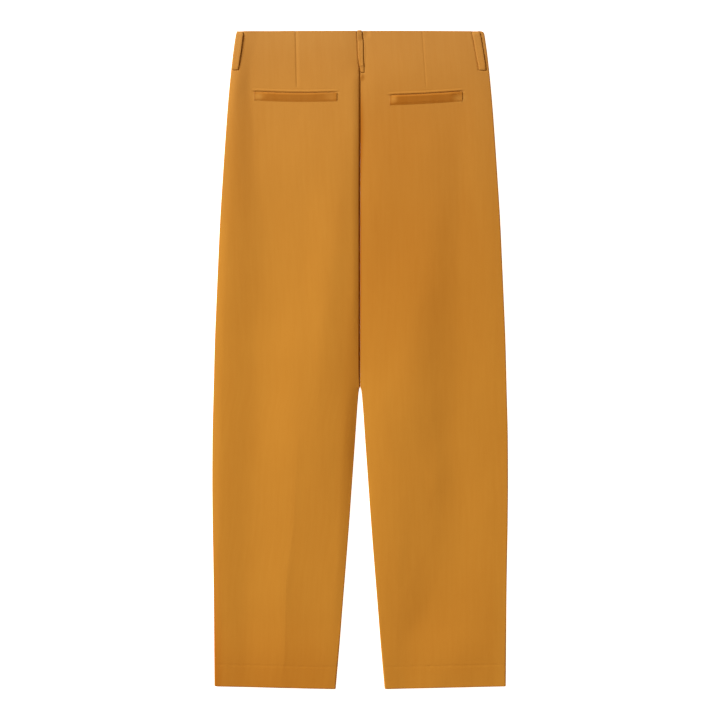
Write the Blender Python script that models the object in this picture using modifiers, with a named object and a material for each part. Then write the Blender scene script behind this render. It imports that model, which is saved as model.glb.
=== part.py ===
"""Straight-leg trousers, laid flat with the back up. Metres, +Z up.

The garment lies on z = 0 with +Y towards the waist and +X towards the wearer's right. Two front
panels lie flat on the surface and two back panels lie on them. The four cloth walls curl towards
each other at the side folds and inseam folds, and stay a seam gap apart. Belt loops and pocket
welts are made from the back panels' own heights, moved out. A closed zip lies inside, behind the
centre front seam.
"""

import math
from collections import namedtuple

import bmesh
import bpy

# Driving dimensions, in millimetres. "Down" is measured from the waist edge towards the hem.
MM = 0.001
OUTSEAM = 1048.0
HEM_DROP = 4.5  # the hem slants down to its inner corner
CROTCH = 320.0  # from here down each leg is a tube of its own
CROTCH_RUN = 80.0  # length over which the centre seams turn into inseams
CROTCH_PAST = 30.0  # how much of that run lies below the crotch
WALL = 1.2  # one layer of cloth
HEM_WALL = 2.4  # the turned-up hem is two layers
HEM_DEPTH = 35.0
HEM_STEP = 0.6  # length over which the wall doubles
SEAM_GAP = 0.3
LAID_ON = 0.35  # gap under a piece that lies on a panel
FOLD_FLAT = 0.4  # half of the short upright stretch in the middle of a fold
CENTRE_BACK_CURL = 40.0  # degrees that a back panel turns down into the centre back seam
FULL_CURL = 90.0
CURL_STEPS = 3
LOOP_WALL = 1.6
LOOP_EDGE_STEPS = 3
LOOP_TUCK = 1.5  # how far a loop runs down inside the waist edge
WELT_WALL = 1.4
WELT_STEPS_ALONG = 12
WELT_STEPS_DOWN = 3
CREASE_SHARE = 0.5  # 0 gives round folds, 1 gives straight slopes that meet in a crease
WAIST_Y = (OUTSEAM + HEM_DROP) / 2

# The outline: half the garment's width, and half the gap between the legs.
Outline = namedtuple("Outline", "down half_width half_gap")
OUTLINE = (
    Outline(0.0, 192.5, 0.0),
    Outline(1.6, 197.0, 0.0),
    Outline(5.0, 198.6, 0.0),
    Outline(14.0, 200.2, 0.0),
    Outline(46.0, 204.5, 0.0),
    Outline(110.0, 210.9, 0.0),
    Outline(174.0, 215.7, 0.0),
    Outline(238.0, 220.0, 0.0),
    Outline(302.0, 224.0, 0.0),
    Outline(366.0, 227.0, 0.0),
    Outline(430.0, 229.8, 0.0),
    Outline(494.0, 232.4, 0.0),
    Outline(567.0, 234.3, 0.0),
    Outline(572.0, 234.4, 1.7),
    Outline(590.0, 234.9, 3.5),
    Outline(654.0, 236.3, 8.0),
    Outline(718.0, 236.6, 12.6),
    Outline(782.0, 236.1, 17.2),
    Outline(846.0, 235.0, 22.2),
    Outline(910.0, 234.1, 27.4),
    Outline(974.0, 233.6, 32.5),
    Outline(1048.0, 233.0, 39.0),
)

# The thickness of the whole garment at its folded edges.
Fold = namedtuple("Fold", "down height")
FOLD = (
    Fold(0.0, 4.8),
    Fold(200.0, 4.8),
    Fold(300.0, 4.4),
    Fold(940.0, 4.4),
    Fold(1005.0, 6.0),
    Fold(1048.0, 6.0),
)

# Soft folds of the back: four lines run down each leg, "in" from the side fold, at a height "z"
# above the surface. The ridge covers the side seam's allowances, and the crease is the highest.
Relief = namedtuple(
    "Relief", "down ridge_in ridge_z trough_in trough_z crease_in crease_z slope_in slope_z"
)
LEFT_RELIEF = (
    Relief(0.0, 10.0, 5.0, 35.0, 5.0, 150.0, 5.1, 179.0, 5.1),
    Relief(130.0, 10.0, 5.4, 40.0, 4.6, 176.0, 5.7, 197.0, 5.4),
    Relief(230.0, 14.0, 5.8, 62.0, 4.3, 179.0, 6.1, 199.0, 5.6),
    Relief(330.0, 16.0, 5.9, 73.0, 4.2, 177.0, 6.2, 200.0, 5.6),
    Relief(440.0, 15.0, 5.8, 73.0, 4.2, 166.0, 6.2, 195.0, 5.4),
    Relief(560.0, 13.0, 5.7, 58.0, 4.3, 148.0, 6.2, 194.0, 5.3),
    Relief(720.0, 12.0, 5.5, 54.0, 4.4, 134.0, 6.2, 201.0, 5.4),
    Relief(850.0, 12.0, 5.3, 48.0, 4.6, 123.0, 6.2, 195.0, 5.6),
    Relief(930.0, 12.0, 5.3, 45.0, 4.8, 114.0, 6.2, 188.0, 5.7),
    Relief(1050.0, 14.0, 6.1, 41.0, 5.8, 106.0, 6.9, 172.0, 6.3),
)
RIGHT_RELIEF = (
    Relief(0.0, 10.0, 5.0, 46.0, 5.0, 102.0, 5.1, 166.0, 5.1),
    Relief(130.0, 10.0, 5.0, 58.0, 4.8, 109.0, 5.3, 178.0, 5.5),
    Relief(230.0, 10.0, 5.0, 67.0, 4.6, 100.0, 5.5, 183.0, 5.8),
    Relief(330.0, 10.0, 5.0, 78.0, 4.4, 107.0, 5.8, 187.0, 5.9),
    Relief(440.0, 10.0, 4.9, 86.0, 4.3, 118.0, 6.0, 192.0, 6.0),
    Relief(560.0, 10.0, 4.9, 95.0, 4.3, 126.0, 6.1, 196.0, 6.0),
    Relief(720.0, 10.0, 4.9, 89.0, 4.4, 120.0, 6.2, 195.0, 5.9),
    Relief(850.0, 10.0, 5.0, 104.0, 4.6, 142.0, 6.2, 193.0, 5.7),
    Relief(930.0, 10.0, 5.1, 137.0, 4.9, 168.0, 6.0, 190.0, 5.6),
    Relief(1050.0, 10.0, 6.0, 166.0, 5.8, 183.0, 6.7, 188.0, 6.4),
)
# How many faces lie between one line and the next, from the side fold to the inner fold.
BACK_STEPS = (2, 3, 4, 3, 2)
FRONT_STEPS = 4

Leg = namedtuple("Leg", "name side relief")
LEGS = (Leg("left", -1, LEFT_RELIEF), Leg("right", 1, RIGHT_RELIEF))

# The sections of every panel, in millimetres down from the waist edge.
SECTIONS = (
    *(0.0, 1.6, 5.0, 14.0, 45.0, 80.0, 110.0, 145.0, 185.0, 230.0),
    *(275.0, 300.0, CROTCH, 360.0, 410.0, 460.0, 515.0, 555.0, 567.0, 572.0),
    *(590.0, 640.0, 700.0, 760.0, 820.0, 880.0, 940.0, 985.0),
    *(OUTSEAM - HEM_DEPTH - HEM_STEP, OUTSEAM - HEM_DEPTH, OUTSEAM),
)

# Belt loops, a row for each section from the waist edge down: x of the middle, width, and how far
# the loop stands off the cloth.
LoopSection = namedtuple("LoopSection", "down middle width lift")
BELT_LOOPS = {
    "belt_loop_left": (
        LoopSection(0.0, -191.8, 10.6, 0.0),
        LoopSection(4.0, -192.6, 11.6, 0.2),
        LoopSection(14.0, -193.8, 11.6, 1.3),
        LoopSection(30.0, -195.9, 11.6, 2.0),
        LoopSection(46.0, -198.0, 11.0, 1.5),
        LoopSection(57.0, -199.4, 10.4, 0.3),
        LoopSection(62.4, -200.0, 10.2, 0.0),
    ),
    "belt_loop_centre": (
        LoopSection(0.0, -0.4, 10.8, 0.0),
        LoopSection(5.0, 0.0, 9.6, 0.2),
        LoopSection(14.0, 0.3, 8.6, 1.2),
        LoopSection(31.0, 0.7, 9.4, 2.0),
        LoopSection(48.0, 1.9, 8.8, 1.5),
        LoopSection(60.0, 3.3, 7.4, 0.3),
        LoopSection(66.0, 4.0, 6.4, 0.0),
    ),
    "belt_loop_right": (
        LoopSection(0.0, 184.9, 11.8, 0.0),
        LoopSection(5.0, 185.6, 11.8, 0.2),
        LoopSection(14.0, 187.5, 12.0, 1.3),
        LoopSection(31.0, 190.4, 12.2, 2.0),
        LoopSection(47.0, 193.2, 11.6, 1.5),
        LoopSection(58.0, 194.8, 11.0, 0.3),
        LoopSection(63.0, 195.2, 10.6, 0.0),
    ),
}

# Pocket welts: the two ends of the upper folded edge, how far its middle sags, and its depth.
Welt = namedtuple("Welt", "leg inner_in inner_down outer_in outer_down sag depth")
WELTS = {
    "pocket_welt_left": Welt(LEGS[0], 37.4, 98.4, 168.5, 97.2, 1.5, 12.4),
    "pocket_welt_right": Welt(LEGS[1], 48.3, 102.8, 163.0, 96.6, 0.8, 11.8),
}

# The closed zip: a woven tape with the chain as a thicker band along its middle.
ZIP_TOP = 6.0
ZIP_LENGTH = 172.0
ZIP_TAPE_WIDTH = 26.0
ZIP_TAPE_WALL = 0.6
ZIP_CHAIN_WIDTH = 6.0
ZIP_CHAIN_WALL = 0.9

CLOTH = (0.54, 0.22, 0.03, 1.0)
ZIP_CLOTH = (0.42, 0.17, 0.025, 1.0)


def cloth_material(name, colour, roughness):
    material = bpy.data.materials.new(name)
    material.use_nodes = True
    shader = material.node_tree.nodes["Principled BSDF"]
    shader.inputs["Base Color"].default_value = colour
    shader.inputs["Roughness"].default_value = roughness
    shader.inputs["Metallic"].default_value = 0.0
    return material


def ease(share):
    """Goes from 0 to 1 with no slope at either end."""
    share = min(max(share, 0.0), 1.0)
    return share * share * (3 - 2 * share)


def slopes(downs, values):
    """The slope at each row of a table, flat at its peaks so that a curve never overshoots."""
    steps = [
        (values[i + 1] - values[i]) / (downs[i + 1] - downs[i]) for i in range(len(downs) - 1)
    ]
    middle = [0.0 if a * b <= 0 else 2 * a * b / (a + b) for a, b in zip(steps, steps[1:])]
    return [steps[0], *middle, steps[-1]]


def read(table, column, down):
    """Reads one column of a table at any distance down, on a smooth curve through its rows."""
    downs = [row.down for row in table]
    values = [getattr(row, column) for row in table]
    if down <= downs[0]:
        return values[0]
    if down >= downs[-1]:
        return values[-1]
    i = max(k for k in range(len(downs) - 1) if downs[k] <= down)
    run = downs[i + 1] - downs[i]
    t = (down - downs[i]) / run
    tangent = slopes(downs, values)
    return (
        (1 + 2 * t) * (1 - t) ** 2 * values[i]
        + t * (1 - t) ** 2 * run * tangent[i]
        + t * t * (3 - 2 * t) * values[i + 1]
        + t * t * (t - 1) * run * tangent[i + 1]
    )


def half_width(down):
    return read(OUTLINE, "half_width", down)


def half_gap(down):
    return max(read(OUTLINE, "half_gap", down), SEAM_GAP / 2)


def fold_height(down):
    return read(FOLD, "height", down)


def seam_curl(down, above_crotch):
    """How far a panel's inner edge curls, in degrees: all the way from just below the crotch."""
    share = ease((down - CROTCH - CROTCH_PAST) / CROTCH_RUN + 1)
    return above_crotch * (1 - share) + FULL_CURL * share


def place(leg, inward, down, z):
    """A point in metres: inward from the side fold, down from the waist edge, z above the floor."""
    span = half_width(down) - half_gap(down)
    drop = HEM_DROP * max(0.0, down - CROTCH) / (OUTSEAM - CROTCH) * inward / span
    x = leg.side * (half_width(down) - inward)
    return (x * MM, (WAIST_Y - down - drop) * MM, z * MM)


def curl(down, degrees):
    """A panel's edge, as points (out, fall). It always has the same length, curled more or less,
    and ends in a short straight stretch beside the seam."""
    radius = fold_height(down) / 2 - FOLD_FLAT
    chord = 2 * radius * math.sin(math.radians(FULL_CURL) / CURL_STEPS / 2)
    turns = [math.radians(degrees) * (k + 0.5) / CURL_STEPS for k in range(CURL_STEPS)]
    stretches = [(chord, turn) for turn in turns]
    stretches.append((FOLD_FLAT - SEAM_GAP / 2, math.radians(degrees)))
    points = [(0.0, 0.0)]
    for length, turn in stretches:
        out, fall = points[-1]
        points.append((out + length * math.cos(turn), fall + length * math.sin(turn)))
    return points


def fold_lines(leg, down):
    """The back's lines at one section, as (in, z), from the side fold to the inner fold."""
    height = fold_height(down)
    side_reach = curl(down, FULL_CURL)[-1][0]
    inner_reach = curl(down, seam_curl(down, CENTRE_BACK_CURL))[-1][0]
    lines = [
        (read(leg.relief, name + "_in", down), read(leg.relief, name + "_z", down))
        for name in ("ridge", "trough", "crease", "slope")
    ]
    inner = half_width(down) - half_gap(down) - inner_reach
    return [(side_reach, height), *lines, (inner, height)]


def between(start, end, share):
    """A point between two lines, on a slope that is part straight and part rounded."""
    rounded = CREASE_SHARE * share + (1 - CREASE_SHARE) * ease(share)
    return (
        start[0] + (end[0] - start[0]) * share,
        start[1] + (end[1] - start[1]) * rounded,
    )


def back_height(leg, x, down):
    """The height of a back panel's outer face, in millimetres, under a piece that lies on it."""
    inward = half_width(down) - leg.side * x
    lines = fold_lines(leg, down)
    if inward <= lines[0][0]:
        return lines[0][1]
    for start, end in zip(lines, lines[1:]):
        if inward <= end[0]:
            return between(start, end, (inward - start[0]) / (end[0] - start[0]))[1]
    return lines[-1][1]


def back_section(leg, down):
    height = fold_height(down)
    lines = fold_lines(leg, down)
    points = [(lines[0][0] - out, height - fall) for out, fall in curl(down, FULL_CURL)][::-1]
    for start, end, steps in zip(lines, lines[1:], BACK_STEPS):
        points += [between(start, end, k / steps) for k in range(1, steps + 1)]
    for out, fall in curl(down, seam_curl(down, CENTRE_BACK_CURL))[1:]:
        points.append((lines[-1][0] + out, height - fall))
    return [place(leg, inward, down, z) for inward, z in points]


def front_section(leg, down):
    side = curl(down, FULL_CURL)
    inner = curl(down, seam_curl(down, 0.0))
    start = side[-1][0]
    end = half_width(down) - half_gap(down) - inner[-1][0]
    points = [(start - out, rise) for out, rise in side][::-1]
    points += [(start + (end - start) * k / FRONT_STEPS, 0.0) for k in range(1, FRONT_STEPS)]
    points += [(end + out, rise) for out, rise in inner]
    return [place(leg, inward, down, z) for inward, z in points]


def loft(name, rows, face_up=True):
    """An open sheet of faces through rows of points, which run from the waist down."""
    mesh = bpy.data.meshes.new(name)
    shape = bmesh.new()
    grid = [[shape.verts.new(point) for point in row] for row in rows]
    for upper, lower in zip(grid, grid[1:]):
        for k in range(len(upper) - 1):
            corners = [upper[k], lower[k], lower[k + 1], upper[k + 1]]
            shape.faces.new(corners if face_up else corners[::-1])
    shape.to_mesh(mesh)
    shape.free()
    mesh.shade_smooth()
    return bpy.data.objects.new(name, mesh)


def solidify(sheet, wall):
    """Gives an open sheet its wall, on the side away from its faces' normals."""
    modifier = sheet.modifiers.new("wall", "SOLIDIFY")
    modifier.thickness = wall * MM
    modifier.offset = -1.0
    modifier.use_even_offset = True
    modifier.use_quality_normals = True
    return modifier


def double_the_hem(sheet, columns):
    """The panel's wall is one layer, and two layers in the turned-up hem."""
    hem_rows = sum(down >= OUTSEAM - HEM_DEPTH for down in SECTIONS)
    first = (len(SECTIONS) - hem_rows) * columns
    group = sheet.vertex_groups.new(name="hem")
    group.add(range(first, len(SECTIONS) * columns), 1.0, "REPLACE")
    modifier = solidify(sheet, HEM_WALL)
    modifier.vertex_group = group.name
    modifier.thickness_vertex_group = WALL / HEM_WALL


def panel(name, leg, section, face_up):
    """One cut panel. Its points run towards +X, so that left and right panels face alike."""
    rows = [section(leg, down)[:: -leg.side] for down in SECTIONS]
    sheet = loft(name, rows, face_up)
    double_the_hem(sheet, len(rows[0]))
    return sheet


def loop_path(sections):
    """The middle line of a belt loop's outer face, from its lower end up over the waist edge."""
    path = []
    for part in reversed(sections):
        edges = (part.middle - part.width / 2, part.middle, part.middle + part.width / 2)
        under = max(back_height(LEGS[x > 0], x, part.down) for x in edges)
        path.append((part, part.down, under + LAID_ON + part.lift + LOOP_WALL))
    top, _, z = path[-1]
    radius = LAID_ON + LOOP_WALL
    for k in range(1, LOOP_EDGE_STEPS + 1):
        turn = math.radians(90.0) * k / LOOP_EDGE_STEPS
        path.append((top, -radius * math.sin(turn), z - radius * (1 - math.cos(turn))))
    path.append((top, -radius, z - radius - LOOP_TUCK))
    return path[::-1]


def belt_loop(name, sections):
    rows = []
    for part, down, z in loop_path(sections):
        row = []
        for share in (-0.5, 0.0, 0.5):
            x = part.middle + share * part.width
            row.append((x * MM, (WAIST_Y - down) * MM, z * MM))
        rows.append(row)
    sheet = loft(name, rows)
    solidify(sheet, LOOP_WALL)
    return sheet


def pocket_welt(name, welt):
    """A folded strip that lies on the back panel and fills the pocket mouth from below."""
    rows = []
    for j in range(WELT_STEPS_DOWN + 1):
        row = []
        for i in range(WELT_STEPS_ALONG + 1):
            share = i / WELT_STEPS_ALONG
            x = welt.leg.side * (welt.inner_in + (welt.outer_in - welt.inner_in) * share)
            down = welt.inner_down + (welt.outer_down - welt.inner_down) * share
            down += welt.sag * math.sin(math.pi * share) + welt.depth * j / WELT_STEPS_DOWN
            z = back_height(welt.leg, x, down) + LAID_ON + WELT_WALL
            row.append((x * MM, (WAIST_Y - down) * MM, z * MM))
        rows.append(row[:: welt.leg.side])
    sheet = loft(name, rows)
    solidify(sheet, WELT_WALL)
    return sheet


def zip_strip(name):
    """The closed zip, drawn as its cross-section and extruded along its length."""
    tape, chain = ZIP_TAPE_WIDTH / 2, ZIP_CHAIN_WIDTH / 2
    outline = (
        (-tape, 0.0),
        (tape, 0.0),
        (tape, ZIP_TAPE_WALL),
        (chain, ZIP_TAPE_WALL),
        (chain, ZIP_CHAIN_WALL),
        (-chain, ZIP_CHAIN_WALL),
        (-chain, ZIP_TAPE_WALL),
        (-tape, ZIP_TAPE_WALL),
    )
    curve = bpy.data.curves.new(name, "CURVE")
    curve.dimensions = "2D"
    curve.fill_mode = "BOTH"
    curve.extrude = ZIP_LENGTH / 2 * MM
    spline = curve.splines.new("POLY")
    spline.points.add(len(outline) - 1)
    for point, (x, z) in zip(spline.points, outline):
        point.co = (x * MM, z * MM, 0.0, 1.0)
    spline.use_cyclic_u = True
    strip = bpy.data.objects.new(name, curve)
    strip.rotation_euler = (math.radians(90.0), 0.0, 0.0)
    middle = WAIST_Y - ZIP_TOP - ZIP_LENGTH / 2
    strip.location = (0.0, middle * MM, (WALL + LAID_ON) * MM)
    return strip


def main():
    for old in list(bpy.data.objects):
        bpy.data.objects.remove(old)
    trousers = bpy.data.collections.new("straight_leg_trousers")
    bpy.context.scene.collection.children.link(trousers)

    pieces = []
    for leg in LEGS:
        pieces.append(panel(f"back_{leg.name}", leg, back_section, face_up=True))
        pieces.append(panel(f"front_{leg.name}", leg, front_section, face_up=False))
    pieces += [belt_loop(name, sections) for name, sections in BELT_LOOPS.items()]
    pieces += [pocket_welt(name, welt) for name, welt in WELTS.items()]
    pieces.append(zip_strip("zip"))

    for piece in pieces:
        colour = ZIP_CLOTH if piece.name == "zip" else CLOTH
        piece.data.materials.append(cloth_material(f"{piece.name}_cloth", colour, 0.85))
        trousers.objects.link(piece)


main()
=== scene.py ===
"""Straight-leg trousers in plain twill, laid flat with the back up: the looks of the part.

Fine cloth shells stand for the CAD panels, with their darts, pocket mouths, creases and hems.
Welts, belt loops, a zip chain and stitches lie on them. The file is run as a script, and is laid
out as an add-on, so that the sizes and colours can be changed and the pieces made again.
"""

import math
from collections import namedtuple

import bpy
import numpy as np
from bpy.props import FloatProperty, FloatVectorProperty, IntProperty, PointerProperty
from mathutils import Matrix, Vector, noise


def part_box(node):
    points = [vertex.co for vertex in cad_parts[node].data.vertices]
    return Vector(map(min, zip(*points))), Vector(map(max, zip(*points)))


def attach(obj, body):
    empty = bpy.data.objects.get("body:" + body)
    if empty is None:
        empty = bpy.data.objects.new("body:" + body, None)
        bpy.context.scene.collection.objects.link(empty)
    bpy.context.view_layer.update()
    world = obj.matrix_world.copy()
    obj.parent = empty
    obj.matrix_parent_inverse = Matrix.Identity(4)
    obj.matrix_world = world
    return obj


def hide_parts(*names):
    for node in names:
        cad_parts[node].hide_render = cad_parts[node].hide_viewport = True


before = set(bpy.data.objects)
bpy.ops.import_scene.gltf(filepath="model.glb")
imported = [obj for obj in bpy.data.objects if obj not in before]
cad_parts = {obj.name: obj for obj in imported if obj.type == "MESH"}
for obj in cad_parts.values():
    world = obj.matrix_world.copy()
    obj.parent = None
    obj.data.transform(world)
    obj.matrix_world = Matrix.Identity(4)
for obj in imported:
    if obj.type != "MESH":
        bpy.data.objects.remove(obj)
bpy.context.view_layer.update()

bl_info = {
    "name": "Straight-leg trousers",
    "version": (1, 0, 0),
    "blender": (4, 5, 0),
    "location": "3D View > Sidebar > Trousers",
    "description": "Makes the cloth, stitches and stage of trousers laid flat",
    "category": "Object",
}

CLOTH = "mustard twill"
# The welts' cloth, whose colour is darkened by painted shade.
WELT_PAINTED_SHADE_CLOTH = "mustard twill, welt painted shade"
KEY_DISTANCE = 10.0  # metres, as the next two
KEY_SIZE = 5.3
FLOOR_HALF = 7.0
CAMERA_LEFT = 0.16  # millimetres
FLOOR_BELOW = 0.2  # millimetres, so that the floor and the cloth's underside don't fight
FLOOR_GLOW = 1.0  # the pale floor is lit from below, so that hardly any shadow shows on it

# Lengths in this file are millimetres, as in the part's source, and MM makes them metres. "Down"
# is measured from the waist edge, and "in" from the side fold towards the middle.
MM = 0.001
WAIST_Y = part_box("back_left")[1].y / MM
OUTSEAM = 1048.0  # length of the side seam, as laid
HEM_DROP = 4.5  # the hem slants down to its inner corner
CROTCH = 320.0  # from here down each leg is a tube of its own
CROTCH_RUN = 80.0  # length over which the centre seams turn into inseams
CROTCH_PAST = 30.0  # how much of that run lies below the crotch
HEM_STEP = 2.0  # length over which the turned-up hem's second layer begins
SEAM_GAP = 0.04  # width of the gap at the centre back seam, where nothing draws its edges back
LAID_ON = 0.35  # gap under a piece that lies on a panel
FOLD_FLAT = 0.4  # half of the short upright stretch in the middle of a fold
FULL_CURL = 90.0  # degrees, as the other curls here
CURL_STEPS = 7
RIM_STEPS = 4
SHARP_ANGLE = 50.0
SWELL_ACROSS = 34.0
SWELL_DOWN = 75.0
ROUNDED_END = 0.8  # a leg's section grows steeper towards its folded edges
LOOP_TUCK = 1.5  # how far a loop runs down inside the waist edge


def table_of(kind, *values):
    """A table of named rows, from plain ones."""
    return tuple(kind(*row) for row in values)


# The cloth's swells, in a wide and a fine layer: how much finer the noise is across and down, its
# share, and how deep in the noise the right leg's swells are cut. The left leg's are as deep below.
Swell = namedtuple("Swell", "across down height cut")
SWELLS = table_of(Swell, (1, 1, 1, 3.7), (2.3, 2.9, 0.35, 8.1))
SWELL_FADE = 12.0  # they fade out within this distance of a seam

# The outline: half the garment's width, and half the gap between the legs.
Outline = namedtuple("Outline", "down half_width half_gap")
OUTLINE = table_of(
    Outline,
    (0, 192.5, 0), (1.6, 197, 0), (5, 198.6, 0), (14, 200.2, 0), (46, 204.5, 0), (110, 210.9, 0),
    (174, 215.7, 0), (238, 220, 0), (302, 224, 0), (366, 227, 0), (430, 229.8, 0), (494, 232.4, 0),
    (567, 234.3, 0), (572, 234.4, 1.7), (590, 234.9, 3.5), (654, 236.3, 8),
    (718, 236.6, 12.6), (782, 236.1, 17.2), (846, 235, 22.2), (910, 234.1, 27.4),
    (974, 233.6, 32.5), (1048, 233, 39),
)

# The thickness of the whole garment at its folded edges.
Fold = namedtuple("Fold", "down height")
FOLD = table_of(Fold, (0, 4.8), (200, 4.8), (300, 4.4), (940, 4.4), (1005, 6), (1048, 6))

# Five soft lines run down each leg, as the four in the solids but with all of their height. Each
# is "in" from the side fold and rises above the garment's folded edges.
LINES = ("side", "foot", "crest", "brow", "lip")
Relief = namedtuple("Relief", ["down", *[name + part for name in LINES for part in ("_in", "_rise")]])
LEFT_RELIEF = table_of(
    Relief,
    (0, 14, 0.7, 40, 0, 140, 1, 168, 1.2, 182, 0.9),
    (50, 12, 0.9, 34, -0.4, 138, 0.8, 172, 1.2, 190, 0.9),
    (90, 11, 1.1, 35, -1, 134, 0.6, 180, 1.3, 196, 1.6),
    (134, 12, 1, 44, -1.2, 132, 0.6, 184, 1.4, 200, 1.7),
    (206, 15, 0.9, 52, -1.5, 122, 0.8, 179, 2.1, 200, 1.9),
    (270, 16, 1.1, 66, -1.5, 130, 0, 187, 2.5, 204, 1.9),
    (334, 15, 1.3, 76, -1.5, 136, 0.2, 186, 2.8, 207, 2),
    (398, 16, 1.3, 78, -1.4, 134, 0.9, 180, 3.6, 208, 2.3),
    (462, 16, 1.2, 71, -1.2, 140, 2.4, 176, 4.6, 209, 3),
    (526, 16, 1.2, 67, -0.6, 141, 4.2, 172, 5.6, 210, 3.7),
    (590, 15, 1.1, 67, -0.8, 139, 4.1, 170, 5.1, 209, 3.6),
    (654, 15, 1.1, 65, -0.6, 137, 4.1, 168, 4.9, 207, 3.6),
    (718, 14, 1, 62, -0.9, 134, 2.8, 166, 3.4, 203, 2.7),
    (782, 12, 0.9, 60, -1, 130, 1.6, 168, 1.9, 200, 1.7),
    (846, 10, 0.8, 60, -1.2, 124, 1, 166, 1.1, 196, 1.2),
    (910, 10, 0.7, 56, -1.1, 117, 0.9, 164, 0.7, 190, 0.8),
    (974, 10, 0.6, 56, -1.1, 115, 0.7, 160, 0.6, 184, 0.4),
    (1048, 10, 0.2, 56, -0.8, 108, 0.2, 156, 0.4, 176, 0.3),
)
RIGHT_RELIEF = table_of(
    Relief,
    (0, 34, 0.8, 70, 0.9, 116, 1.2, 150, 1, 176, 0.5),
    (60, 32, 1.5, 62, 1.9, 110, 2.5, 152, 1.8, 182, 0.8),
    (134, 31, 0.7, 50, 0.6, 109, 1.2, 160, 0.6, 188, 0.1),
    (206, 32, 1, 54, 1, 106, 2.3, 170, 1.5, 196, 0.7),
    (270, 29, 1, 57, 1.1, 108, 2.5, 176, 1.6, 200, 0.8),
    (334, 27, 0.8, 62, 0.7, 111, 2.8, 176, 1.1, 202, 0.5),
    (398, 28, 0.7, 64, 0.8, 125, 3.5, 184, 1.7, 206, 0.8),
    (462, 31, 0.5, 68, 0.3, 142, 4.5, 190, 2.4, 210, 1.2),
    (526, 33, 0.4, 68, 0.3, 149, 5.3, 194, 2.6, 212, 1.4),
    (590, 35, 0.5, 74, 0.7, 155, 5.2, 192, 3.9, 211, 2.3),
    (654, 36, 0.3, 81, 0, 156, 3.4, 190, 3.1, 209, 2),
    (718, 26, 0.1, 77, -0.9, 124, 1.6, 168, 2.6, 200, 1.9),
    (782, 25, 0, 80, -1.2, 150, 1, 178, 1.7, 198, 1.2),
    (846, 24, 0, 94, -1.4, 156, 0.4, 176, 1.2, 194, 1),
    (910, 38, 0.4, 122, -1.4, 160, 0, 176, 0.4, 190, 0.5),
    (974, 60, 1.2, 150, -1.1, 166, -0.8, 176, -0.4, 186, -0.1),
    (1048, 104, 0.4, 160, -0.9, 168, -0.8, 174, -0.6, 182, -0.3),
)

# Along the centre back seam the left panel stands up a little and then rounds down, and the right
# panel starts lower, in its shade. "gap" is how far an edge is drawn back from the middle.
SeamEdge = namedtuple("SeamEdge", "down rise gap")
LEFT_SEAM = table_of(
    SeamEdge,
    (0, 0.2, 0.02), (50, 0.4, 0.02), (72, 1.7, 0.6), (160, 1.7, 0.8), (220, 1.3, 1.1),
    (300, 1, 1.5), (460, 1.3, 1.6), (545, 0.9, 1.4), (572, 0, 0.02),
)
RIGHT_SEAM = table_of(
    SeamEdge,
    (0, -0.2, 0.02), (66, -0.7, 0.5), (160, -0.7, 0.7), (220, -0.5, 0.3), (300, -0.4, 0.2),
    (460, -0.3, 0.2), (545, -0.1, 0.2), (572, 0, 0.02),
)
SEAM_TUBE = 520  # from here down the edges grow as round as the rest of each leg's tube
SEAM_TUBE_RUN = 60

# The grain line of each leg runs down its dart and then its pressed crease. Faces are finest there.
Way = namedtuple("Way", "down x")
LEFT_GRAIN = table_of(
    Way,
    (0, -103.4), (91, -101.3), (300, -95), (560, -88), (630, -100), (766, -104.5), (894, -118.6),
    (990, -120.5), (1050, -126.5),
)
RIGHT_GRAIN = table_of(Way, (0, 99), (93, 105.4), (230, 112), (560, 109), (800, 112), (1050, 112))

# A crease follows its points at their heights. It is "left" wide before its line and "right" wide
# after it, and "crisp" goes from 0, a soft swell, to 1, a pressed edge.
CreasePoint = namedtuple("CreasePoint", "down x height")
Crease = namedtuple("Crease", "left right crisp path")
LEFT_PATH = table_of(
    CreasePoint,
    (560, -90, 0), (620, -96, 0.25), (700, -102.4, 0.35), (766, -104.5, 0.48), (894, -118.6, 0.8),
    (990, -120.5, 0.6), (1050, -126.5, 0.2),
)
RIGHT_PATH = table_of(
    CreasePoint,
    (420, 112, 0), (560, 112, 0.12), (718, 124, 0.2), (800, 116, 0.15), (846, 96, 0.12),
    (910, 68, 0.12), (1050, 49.4, 0),
)
LEFT_CREASE = Crease(42, 38, 1, LEFT_PATH)
RIGHT_CREASE = Crease(22, 16, 0.7, RIGHT_PATH)

# A dart is a seam line pressed to one side: a groove with a steep left and a gentle right flank.
Dart = namedtuple("Dart", "top_x end_x end_down depth left right")
LEFT_DART = Dart(-103.4, -101.3, 93, 0.5, 1.5, 6)
RIGHT_DART = Dart(99, 105.4, 94, 0.28, 1.2, 3)
DART_FADE = 8

# How far the welt stands off the panel, from its upper folded edge to its sewn lower edge.
WeltForm = namedtuple("WeltForm", "share height")
LEFT_WELT_FORM = table_of(WeltForm, (0, 1.6), (0.1, 2.7), (0.3, 2.25), (0.8, 0.75), (0.92, 0.25), (1, 0.05))
RIGHT_WELT_FORM = table_of(WeltForm, (0, 2), (0.08, 2.9), (0.3, 2.4), (0.75, 1.2), (0.9, 0.5), (1, 0.1))
# Pocket welts: the two ends of the upper folded edge, how far its middle sags, its depth, its
# form, the lengths over which it rises from its two ends, and the depth of the groove above it.
Welt = namedtuple(
    "Welt", "inner_in inner_down outer_in outer_down sag depth form inner_run outer_run mouth"
)
LEFT_WELT = Welt(37.4, 99.6, 168.5, 98.2, 1.6, 13.2, LEFT_WELT_FORM, 42, 22, 1.3)
RIGHT_WELT = Welt(48.3, 104.4, 163, 98.2, 0.8, 14.6, RIGHT_WELT_FORM, 12, 20, 1.7)

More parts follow.
